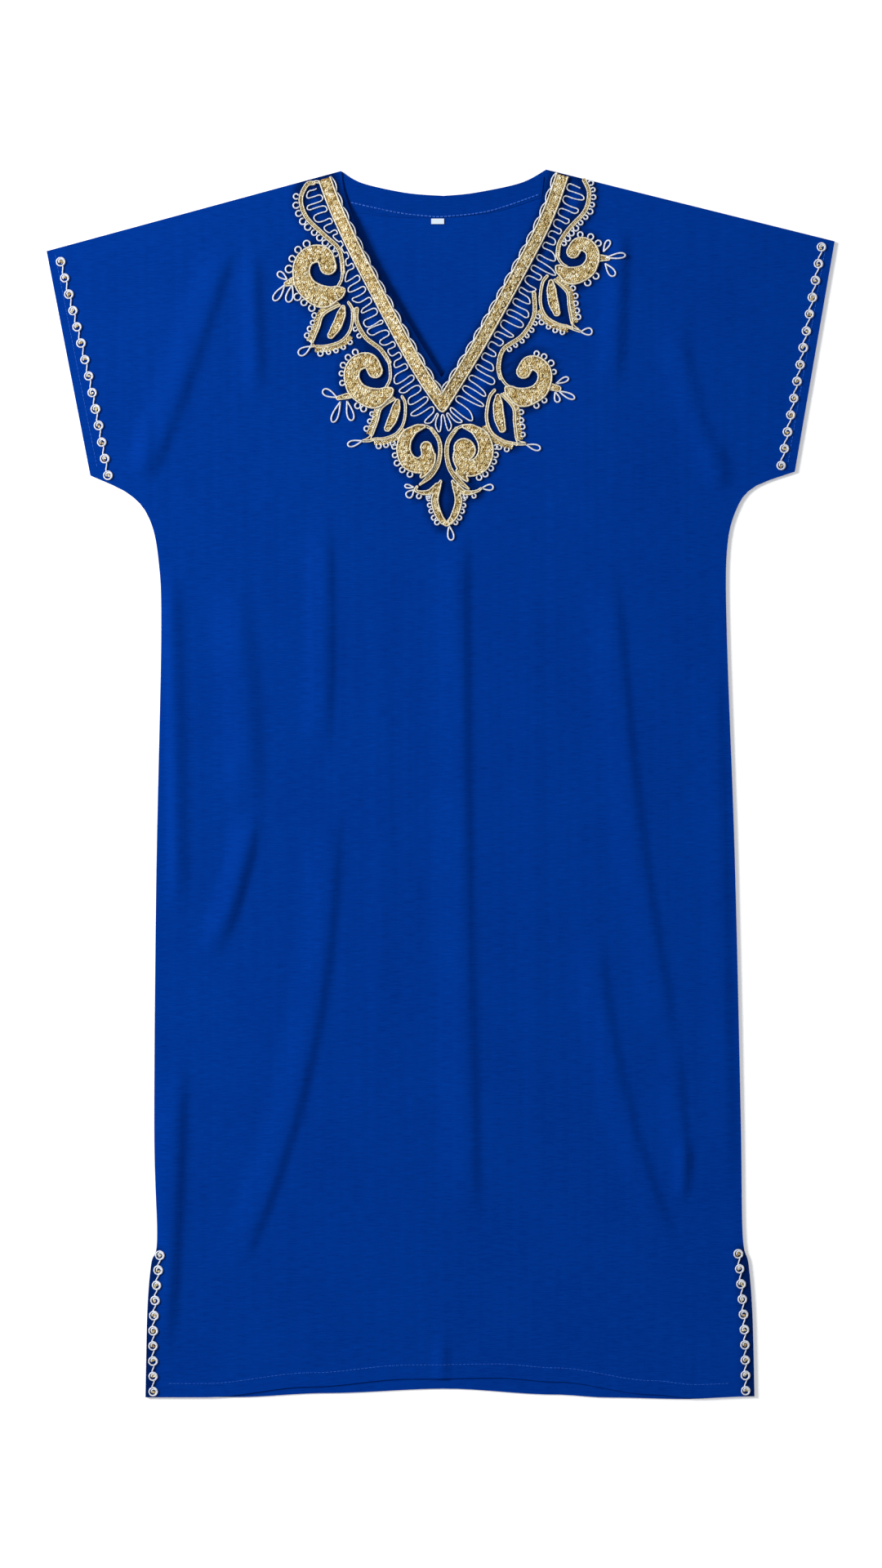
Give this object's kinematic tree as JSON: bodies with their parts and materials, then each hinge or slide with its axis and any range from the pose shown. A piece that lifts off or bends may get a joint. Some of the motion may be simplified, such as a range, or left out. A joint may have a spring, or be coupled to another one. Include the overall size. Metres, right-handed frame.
{
  "type": "embroidered abaya",
  "caption": "Royal blue V-neck crepe abaya laid flat, with short cut-on sleeves, gold scroll embroidery round the neck and rosette trim at cuffs and slits.",
  "frame": {"origin": "centre of the garment's box, on the surface that the back panel lies on", "axes": "+Y from the hem to the neck, +Z off the surface, +X to the viewer's right when the front is looked at"},
  "size_m": [0.801, 1.2496, 0.0077],
  "materials": {
    "crepe": "matte royal blue crepe with a slubbed crosswise crinkle",
    "gold_thread": "packed metallic gold looping stitches",
    "pale_cord": "pale champagne twisted cord with a soft shine",
    "label_cloth": "plain white woven tape"
  },
  "bodies": {
    "root": {"back_panel": "crepe", "front_panel": "crepe", "back_neck_facing": "crepe", "neck_label": "label_cloth", "neck_band": "gold_thread", "scroll_left_upper": "gold_thread", "scroll_left_lower": "gold_thread", "scroll_right_lower": "gold_thread", "scroll_right_upper": "gold_thread", "scroll_left_bottom": "gold_thread", "scroll_right_bottom": "gold_thread", "hook_left": "pale_cord", "hook_right": "pale_cord", "leaf_left_upper_inner_edge": "pale_cord", "leaf_left_upper_outer_edge": "pale_cord", "leaf_left_upper_core": "gold_thread", "leaf_left_lower_inner_edge": "pale_cord", "leaf_left_lower_outer_edge": "pale_cord", "leaf_left_lower_core": "gold_thread", "leaf_right_lower_inner_edge": "pale_cord", "leaf_right_lower_outer_edge": "pale_cord", "leaf_right_lower_core": "gold_thread", "leaf_right_upper_inner_edge": "pale_cord", "leaf_right_upper_outer_edge": "pale_cord", "leaf_right_upper_core": "gold_thread", "border_left_upper": "pale_cord", "border_left_lower": "pale_cord", "border_right_lower": "pale_cord", "border_right_upper": "pale_cord", "pendant_wing_left": "gold_thread", "pendant_drop_left": "gold_thread", "pendant_wing_right": "gold_thread", "pendant_drop_right": "gold_thread", "trim_cuff_left": "pale_cord", "trim_cuff_right": "pale_cord", "trim_slit_left": "pale_cord", "trim_slit_right": "pale_cord"}
  },
  "joints": []
}
